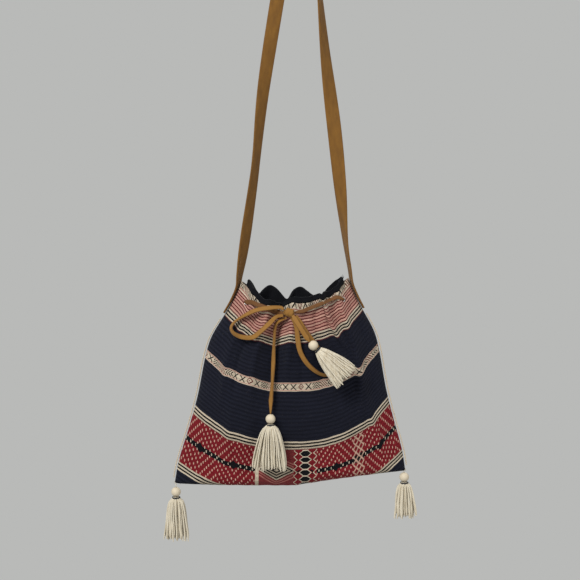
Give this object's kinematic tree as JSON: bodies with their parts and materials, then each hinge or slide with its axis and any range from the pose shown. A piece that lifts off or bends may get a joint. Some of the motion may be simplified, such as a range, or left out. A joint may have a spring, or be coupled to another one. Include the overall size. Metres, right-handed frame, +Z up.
{
  "type": "drawstring shoulder bag",
  "caption": "Flat drawstring shoulder bag of banded woven cloth, lined in black, with a long webbing strap, a bowed lace, wooden beads and yarn tassels.",
  "frame": {"origin": "where the inside top of the strap's loop rests on what carries the bag", "axes": "+Z up, +X to the right seen from the front, -Y to the front"},
  "size_m": [0.3283, 0.0935, 0.8576],
  "materials": {
    "woven_cloth": "banded wool and cotton weave, matt",
    "lining_cloth": "black plain weave",
    "selvedge_cord": "cream cord",
    "strap_webbing": "tan webbing",
    "lace": "golden tan suede",
    "eyelet_metal": "satin",
    "bead_wood": "bare turned wood",
    "binding_thread": "black thread",
    "tassel_yarn": "cream cotton yarn"
  },
  "bodies": {
    "bag": {"back_panel": "woven_cloth", "bow_knot": "lace", "bow_loop_left": "lace", "bow_loop_right": "lace", "eyelet_back_left": "eyelet_metal", "eyelet_back_right": "eyelet_metal", "eyelet_front_left": "eyelet_metal", "eyelet_front_right": "eyelet_metal", "front_panel": "woven_cloth", "lace_back": "lace", "lace_front_left": "lace", "lace_front_right": "lace", "lace_inside_left": "lace", "lace_inside_right": "lace", "left_corner_thread": "tassel_yarn", "left_piping": "selvedge_cord", "lining": "lining_cloth", "long_tail_lace": "lace", "right_corner_thread": "tassel_yarn", "right_piping": "selvedge_cord", "short_tail_lace": "lace", "shoulder_strap": "strap_webbing"},
    "long_tail_bead": {"long_tail_bead": "bead_wood"},
    "long_tail_tassel": {"long_tail_binding": "binding_thread", "long_tail_skirt": "tassel_yarn"},
    "short_tail_bead": {"short_tail_bead": "bead_wood"},
    "short_tail_tassel": {"short_tail_binding": "binding_thread", "short_tail_skirt": "tassel_yarn"},
    "left_corner_bead": {"left_corner_bead": "bead_wood"},
    "left_corner_tassel": {"left_corner_binding": "binding_thread", "left_corner_skirt": "tassel_yarn"},
    "right_corner_bead": {"right_corner_bead": "bead_wood"},
    "right_corner_tassel": {"right_corner_binding": "binding_thread", "right_corner_skirt": "tassel_yarn"}
  },
  "joints": [
    {"name": "long_tail_lift", "type": "hinge", "parent": "bag", "child": "long_tail_bead", "pos_m": [-0.0404, -0.03647, -0.6883], "axis": [-1, 0, 0], "range_deg": [0, 55]},
    {"name": "long_tail_sway", "type": "hinge", "parent": "long_tail_bead", "child": "long_tail_tassel", "pos_m": [-0.0404, -0.03647, -0.6941], "axis": [0, 1, 0], "range_deg": [-40, 40]},
    {"name": "short_tail_lift", "type": "hinge", "parent": "bag", "child": "short_tail_bead", "pos_m": [0.00938, -0.04873, -0.59636], "axis": [-0.6919, 0, -0.722], "range_deg": [0, 50]},
    {"name": "short_tail_sway", "type": "hinge", "parent": "short_tail_bead", "child": "short_tail_tassel", "pos_m": [0.01357, -0.04873, -0.60037], "axis": [0, 1, 0], "range_deg": [-20, 44]},
    {"name": "left_corner_lift", "type": "hinge", "parent": "bag", "child": "left_corner_bead", "pos_m": [-0.1639, 0, -0.7873], "axis": [-1, 0, 0], "range_deg": [-50, 50]},
    {"name": "left_corner_sway", "type": "hinge", "parent": "left_corner_bead", "child": "left_corner_tassel", "pos_m": [-0.16378, 0, -0.7931], "axis": [0, 1, 0], "range_deg": [-50, 50]},
    {"name": "right_corner_lift", "type": "hinge", "parent": "bag", "child": "right_corner_bead", "pos_m": [0.1325, 0, -0.7681], "axis": [-1, 0, 0], "range_deg": [-50, 50]},
    {"name": "right_corner_sway", "type": "hinge", "parent": "right_corner_bead", "child": "right_corner_tassel", "pos_m": [0.13267, 0, -0.7739], "axis": [0, 1, 0], "range_deg": [-50, 50]}
  ]
}
